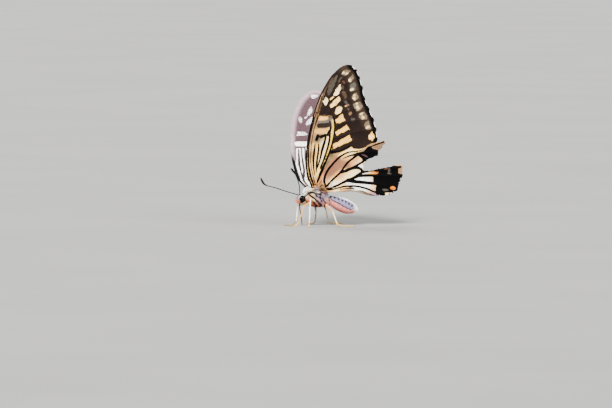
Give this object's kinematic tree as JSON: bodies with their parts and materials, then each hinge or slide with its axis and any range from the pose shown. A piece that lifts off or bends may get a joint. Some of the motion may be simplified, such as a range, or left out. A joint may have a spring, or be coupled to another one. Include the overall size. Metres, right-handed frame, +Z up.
{
  "type": "swallowtail butterfly",
  "caption": "Still, life-size swallowtail butterfly standing with one side's wings nearly upright and the other side's tilted open, hindwings worn and without tails",
  "frame": {"origin": "bottom centre of the whole model's box, on the floor that the six feet stand on", "axes": "+Z up along the raised wings, -X where the head points, -Y the butterfly's left side"},
  "size_m": [0.054, 0.0466, 0.0627],
  "materials": {
    "body_hair": "matte",
    "abdomen_scales": "matte",
    "eye": "gloss",
    "antenna": "satin",
    "wing_scales": "matte",
    "leg": "satin"
  },
  "bodies": {
    "root": {"head": "body_hair", "thorax": "body_hair", "abdomen": "abdomen_scales", "eye_left": "eye", "eye_right": "eye", "palp_left": "body_hair", "palp_right": "body_hair", "proboscis": "antenna", "antenna_left": "antenna", "antenna_right": "antenna", "forewing_left": "wing_scales", "forewing_right": "wing_scales", "hindwing_left": "wing_scales", "hindwing_right": "wing_scales", "femur_fore_left": "leg", "femur_fore_right": "leg", "femur_mid_left": "leg", "femur_mid_right": "leg", "femur_hind_left": "leg", "femur_hind_right": "leg", "tibia_fore_left": "leg", "tibia_fore_right": "leg", "tibia_mid_left": "leg", "tibia_mid_right": "leg", "tibia_hind_left": "leg", "tibia_hind_right": "leg", "tarsus_fore_left": "leg", "tarsus_fore_right": "leg", "tarsus_mid_left": "leg", "tarsus_mid_right": "leg", "tarsus_hind_left": "leg", "tarsus_hind_right": "leg"}
  },
  "joints": []
}
